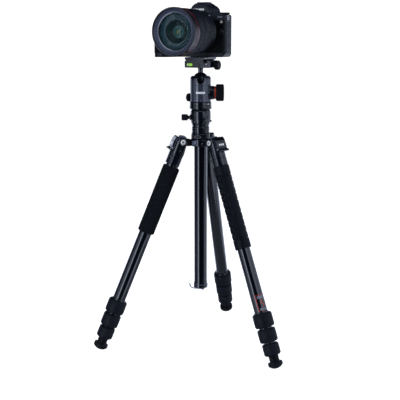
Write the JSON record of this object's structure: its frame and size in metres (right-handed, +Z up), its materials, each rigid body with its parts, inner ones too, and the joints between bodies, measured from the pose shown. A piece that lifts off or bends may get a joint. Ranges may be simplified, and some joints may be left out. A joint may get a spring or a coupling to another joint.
{
  "type": "camera on tripod",
  "caption": "Mirrorless camera with a zoom lens, clamped on a ball head, on a travel tripod with telescoping legs and a centre column.",
  "frame": {"origin": "on the floor, at the middle of the object's box, under the space between the legs", "axes": "+Z up along the centre column, -Y the way the lens points, +X to the camera's left-hand side as its user holds it"},
  "size_m": [0.3616, 0.3414, 0.6462],
  "materials": {
    "anodised_alloy": "black anodised, satin",
    "cast_alloy": "black, fine texture",
    "toothed_lever": "dark grey, satin",
    "lock_rubber": "ribbed, matte",
    "foot_rubber": "smooth, matte",
    "knob_rubber": "knurled, matte",
    "grip_foam": "closed-cell foam, matte",
    "grip_rubber": "moulded block pattern, matte",
    "steel_wire": "plated wire",
    "camera_shell": "fine grained",
    "camera_controls": "satin",
    "screen_glass": "gloss front",
    "battery_case": "dark grey",
    "sensor_glass": "dark blue-green gloss",
    "mount_steel": "turned",
    "lens_barrel": "black, satin",
    "lens_rubber": "ribbed, matte",
    "lens_glass": "teal anti-reflection coating"
  },
  "bodies": {
    "tripod_base": {"spider_casting": "cast_alloy"},
    "rear_leg": {"rear_leg_upper": "anodised_alloy"},
    "rear_angle_lever": {"rear_angle_lever": "toothed_lever"},
    "rear_twist_lock_1": {"rear_twist_lock_1": "lock_rubber"},
    "rear_twist_lock_2": {"rear_twist_lock_2": "lock_rubber"},
    "rear_twist_lock_3": {"rear_twist_lock_3": "lock_rubber"},
    "rear_tube_2": {"rear_leg_tube_2": "anodised_alloy"},
    "rear_tube_3": {"rear_leg_tube_3": "anodised_alloy"},
    "rear_tube_4": {"rear_leg_tube_4": "anodised_alloy", "rear_foot": "foot_rubber"},
    "left_leg": {"left_leg_upper": "anodised_alloy", "foam_grip": "grip_foam"},
    "left_angle_lever": {"left_angle_lever": "toothed_lever"},
    "left_twist_lock_1": {"left_twist_lock_1": "lock_rubber"},
    "left_twist_lock_2": {"left_twist_lock_2": "lock_rubber"},
    "left_twist_lock_3": {"left_twist_lock_3": "lock_rubber"},
    "left_tube_2": {"left_leg_tube_2": "anodised_alloy"},
    "left_tube_3": {"left_leg_tube_3": "anodised_alloy"},
    "left_tube_4": {"left_leg_tube_4": "anodised_alloy", "left_foot": "foot_rubber"},
    "right_leg": {"right_leg_upper": "anodised_alloy", "rubber_grip": "grip_rubber"},
    "right_angle_lever": {"right_angle_lever": "toothed_lever"},
    "right_twist_lock_1": {"right_twist_lock_1": "lock_rubber"},
    "right_twist_lock_2": {"right_twist_lock_2": "lock_rubber"},
    "right_twist_lock_3": {"right_twist_lock_3": "lock_rubber"},
    "right_tube_2": {"right_leg_tube_2": "anodised_alloy"},
    "right_tube_3": {"right_leg_tube_3": "anodised_alloy"},
    "right_tube_4": {"right_leg_tube_4": "anodised_alloy", "right_foot": "foot_rubber"},
    "column_twist_collar": {"column_twist_collar": "lock_rubber"},
    "column": {"centre_column": "anodised_alloy", "column_block": "cast_alloy", "head_pan_base": "anodised_alloy"},
    "ballast_hook": {"ballast_hook": "steel_wire"},
    "column_lock_knob": {"column_lock_knob": "knob_rubber"},
    "head": {"head_body": "anodised_alloy"},
    "ball_lock_knob": {"ball_lock_knob": "knob_rubber"},
    "pan_lock_knob": {"pan_lock_knob": "knob_rubber"},
    "ball": {"ball_stem": "anodised_alloy"},
    "clamp": {"clamp_body": "anodised_alloy"},
    "clamp_jaw": {"clamp_jaw": "anodised_alloy"},
    "clamp_knob": {"clamp_knob": "knob_rubber"},
    "camera": {"quick_release_plate": "anodised_alloy", "camera_front_body": "camera_shell", "camera_back_cover": "camera_shell", "camera_top_cover": "camera_shell", "battery": "battery_case", "image_sensor": "sensor_glass", "lens_mount_ring": "mount_steel", "lens_fixed_barrel": "lens_barrel"},
    "battery_door": {"battery_door": "camera_shell"},
    "camera_screen": {"camera_screen": "screen_glass"},
    "shutter_button": {"shutter_button": "camera_controls"},
    "mode_dial": {"mode_dial": "camera_controls"},
    "lens_release_button": {"lens_release_button": "camera_controls"},
    "zoom_ring": {"lens_zoom_ring": "lens_rubber"},
    "focus_ring": {"lens_focus_ring": "lens_rubber"},
    "lens_front": {"lens_extension_barrel": "lens_barrel", "lens_front_element": "lens_glass"}
  },
  "joints": [
    {"name": "rear_leg_spread", "type": "hinge", "parent": "tripod_base", "child": "rear_leg", "pos_m": [-0.0195, 0.00017, 0.39269], "axis": [0.9893, 0.1461, 0], "range_deg": [-22.5, 57.5]},
    {"name": "rear_angle_lever_pull", "type": "hinge", "parent": "rear_leg", "child": "rear_angle_lever", "pos_m": [-0.02136, 0.01276, 0.40013], "axis": [0.9893, 0.1461, 0], "range_deg": [0, 30], "stiffness_Nm_per_rad": 0.05},
    {"name": "rear_twist_lock_1_turn", "type": "hinge", "parent": "rear_leg", "child": "rear_twist_lock_1", "pos_m": [-0.03824, 0.12703, 0.0831], "axis": [-0.0559, 0.3786, -0.9239], "range_deg": [0, 90]},
    {"name": "rear_tube_2_slide", "type": "slide", "parent": "rear_leg", "child": "rear_tube_2", "axis": [-0.0559, 0.3786, -0.9239], "range_m": [0, 0.28]},
    {"name": "rear_twist_lock_2_turn", "type": "hinge", "parent": "rear_tube_2", "child": "rear_twist_lock_2", "pos_m": [-0.0398, 0.13759, 0.05732], "axis": [-0.0559, 0.3786, -0.9239], "range_deg": [0, 90]},
    {"name": "rear_tube_3_slide", "type": "slide", "parent": "rear_tube_2", "child": "rear_tube_3", "axis": [-0.0559, 0.3786, -0.9239], "range_m": [0, 0.28]},
    {"name": "rear_twist_lock_3_turn", "type": "hinge", "parent": "rear_tube_3", "child": "rear_twist_lock_3", "pos_m": [-0.04122, 0.14726, 0.03372], "axis": [-0.0559, 0.3786, -0.9239], "range_deg": [0, 90]},
    {"name": "rear_tube_4_slide", "type": "slide", "parent": "rear_tube_3", "child": "rear_tube_4", "axis": [-0.0559, 0.3786, -0.9239], "range_m": [0, 0.28]},
    {"name": "left_leg_spread", "type": "hinge", "parent": "tripod_base", "child": "left_leg", "pos_m": [-0.04265, -0.05829, 0.39269], "axis": [-0.6211, 0.7837, 0], "range_deg": [-22.5, 57.5]},
    {"name": "left_angle_lever_pull", "type": "hinge", "parent": "left_leg", "child": "left_angle_lever", "pos_m": [-0.05262, -0.06619, 0.40013], "axis": [-0.6211, 0.7837, 0], "range_deg": [0, 30], "stiffness_Nm_per_rad": 0.05},
    {"name": "left_twist_lock_1_turn", "type": "hinge", "parent": "left_leg", "child": "left_twist_lock_1", "pos_m": [-0.14315, -0.13795, 0.0831], "axis": [-0.2999, -0.2377, -0.9239], "range_deg": [0, 90]},
    {"name": "left_tube_2_slide", "type": "slide", "parent": "left_leg", "child": "left_tube_2", "axis": [-0.2999, -0.2377, -0.9239], "range_m": [0, 0.28]},
    {"name": "left_twist_lock_2_turn", "type": "hinge", "parent": "left_tube_2", "child": "left_twist_lock_2", "pos_m": [-0.15151, -0.14458, 0.05732], "axis": [-0.2999, -0.2377, -0.9239], "range_deg": [0, 90]},
    {"name": "left_tube_3_slide", "type": "slide", "parent": "left_tube_2", "child": "left_tube_3", "axis": [-0.2999, -0.2377, -0.9239], "range_m": [0, 0.28]},
    {"name": "left_twist_lock_3_turn", "type": "hinge", "parent": "left_tube_3", "child": "left_twist_lock_3", "pos_m": [-0.15918, -0.15065, 0.03372], "axis": [-0.2999, -0.2377, -0.9239], "range_deg": [0, 90]},
    {"name": "left_tube_4_slide", "type": "slide", "parent": "left_tube_3", "child": "left_tube_4", "axis": [-0.2999, -0.2377, -0.9239], "range_m": [0, 0.28]},
    {"name": "right_leg_spread", "type": "hinge", "parent": "tripod_base", "child": "right_leg", "pos_m": [0.01955, -0.04911, 0.39269], "axis": [-0.3681, -0.9298, 0], "range_deg": [-22.5, 57.5]},
    {"name": "right_angle_lever_pull", "type": "hinge", "parent": "right_leg", "child": "right_angle_lever", "pos_m": [0.03138, -0.05379, 0.40013], "axis": [-0.3681, -0.9298, 0], "range_deg": [0, 30], "stiffness_Nm_per_rad": 0.05},
    {"name": "right_twist_lock_1_turn", "type": "hinge", "parent": "right_leg", "child": "right_twist_lock_1", "pos_m": [0.13878, -0.09631, 0.0831], "axis": [0.3558, -0.1409, -0.9239], "range_deg": [0, 90]},
    {"name": "right_tube_2_slide", "type": "slide", "parent": "right_leg", "child": "right_tube_2", "axis": [0.3558, -0.1409, -0.9239], "range_m": [0, 0.28]},
    {"name": "right_twist_lock_2_turn", "type": "hinge", "parent": "right_tube_2", "child": "right_twist_lock_2", "pos_m": [0.14871, -0.10024, 0.05732], "axis": [0.3558, -0.1409, -0.9239], "range_deg": [0, 90]},
    {"name": "right_tube_3_slide", "type": "slide", "parent": "right_tube_2", "child": "right_tube_3", "axis": [0.3558, -0.1409, -0.9239], "range_m": [0, 0.28]},
    {"name": "right_twist_lock_3_turn", "type": "hinge", "parent": "right_tube_3", "child": "right_twist_lock_3", "pos_m": [0.1578, -0.10384, 0.03372], "axis": [0.3558, -0.1409, -0.9239], "range_deg": [0, 90]},
    {"name": "right_tube_4_slide", "type": "slide", "parent": "right_tube_3", "child": "right_tube_4", "axis": [0.3558, -0.1409, -0.9239], "range_m": [0, 0.28]},
    {"name": "column_collar_turn", "type": "hinge", "parent": "tripod_base", "child": "column_twist_collar", "pos_m": [-0.0142, -0.03574, 0.40229], "axis": [0, 0, 1], "range_deg": [0, 90]},
    {"name": "column_slide", "type": "slide", "parent": "tripod_base", "child": "column", "axis": [0, 0, 1], "range_m": [0, 0.24]},
    {"name": "ballast_hook_swing", "type": "hinge", "parent": "column", "child": "ballast_hook", "pos_m": [-0.0084, -0.03574, 0.1072], "axis": [0, -1, 0], "range_deg": [0, 80]},
    {"name": "column_lock_knob_turn", "type": "hinge", "parent": "column", "child": "column_lock_knob", "pos_m": [-0.03958, -0.04758, 0.43689], "axis": [-0.9063, -0.4226, 0], "range_deg": [0, 360]},
    {"name": "head_pan", "type": "hinge", "parent": "column", "child": "head", "pos_m": [-0.0142, -0.03574, 0.46579], "axis": [0, 0, 1], "continuous": true},
    {"name": "ball_lock_knob_turn", "type": "hinge", "parent": "head", "child": "ball_lock_knob", "pos_m": [0.01634, -0.0215, 0.48259], "axis": [0.9063, 0.4226, 0], "range_deg": [0, 270]},
    {"name": "pan_lock_knob_turn", "type": "hinge", "parent": "head", "child": "pan_lock_knob", "pos_m": [-0.03711, -0.03374, 0.47299], "axis": [-0.9962, 0.0872, 0], "range_deg": [0, 270]},
    {"name": "ball_tilt", "type": "hinge", "parent": "head", "child": "ball", "pos_m": [-0.0142, -0.03574, 0.50629], "axis": [0.9063, 0.4226, 0], "range_deg": [-38, 90]},
    {"name": "ball_spin", "type": "hinge", "parent": "ball", "child": "clamp", "pos_m": [-0.0142, -0.03574, 0.52849], "axis": [0, 0, 1], "continuous": true},
    {"name": "clamp_jaw_slide", "type": "slide", "parent": "clamp", "child": "clamp_jaw", "axis": [1, 0, 0], "range_m": [0, 0.00375]},
    {"name": "clamp_knob_turn", "type": "hinge", "parent": "clamp_jaw", "child": "clamp_knob", "pos_m": [0.0184, -0.03574, 0.53329], "axis": [1, 0, 0], "range_deg": [0, 1080.5]},
    {"name": "plate_slide", "type": "slide", "parent": "clamp", "child": "camera", "axis": [0, 1, 0], "range_m": [-0.008, 0.008]},
    {"name": "screen_swing", "type": "hinge", "parent": "camera", "child": "camera_screen", "pos_m": [0.0272, -0.00064, 0.58059], "axis": [0, 0, -1], "range_deg": [0, 175]},
    {"name": "battery_door_swing", "type": "hinge", "parent": "camera", "child": "battery_door", "pos_m": [-0.0767, -0.02984, 0.54769], "axis": [1, 0, 0], "range_deg": [0, 75]},
    {"name": "shutter_button_press", "type": "slide", "parent": "camera", "child": "shutter_button", "axis": [0, 0, -1], "range_m": [0, 0.001], "stiffness_N_per_m": 800},
    {"name": "mode_dial_turn", "type": "hinge", "parent": "camera", "child": "mode_dial", "pos_m": [-0.0607, -0.02374, 0.62879], "axis": [0, 0, 1], "continuous": true},
    {"name": "lens_release_press", "type": "slide", "parent": "camera", "child": "lens_release_button", "axis": [0, 1, 0], "range_m": [0, 0.0011], "stiffness_N_per_m": 800},
    {"name": "zoom_turn", "type": "hinge", "parent": "camera", "child": "zoom_ring", "pos_m": [-0.0142, -0.08374, 0.59279], "axis": [0, -1, 0], "range_deg": [0, 75]},
    {"name": "lens_extend", "type": "slide", "parent": "camera", "child": "lens_front", "axis": [0, -1, 0], "range_m": [0, 0.0401]},
    {"name": "focus_turn", "type": "hinge", "parent": "camera", "child": "focus_ring", "pos_m": [-0.0142, -0.11174, 0.59279], "axis": [0, -1, 0], "continuous": true}
  ],
  "couplings": [
    {"joint": "clamp_knob_turn", "follows": "clamp_jaw_slide", "rad_per_m": 5026.5},
    {"joint": "lens_extend", "follows": "zoom_turn", "m_per_rad": 0.030558}
  ]
}
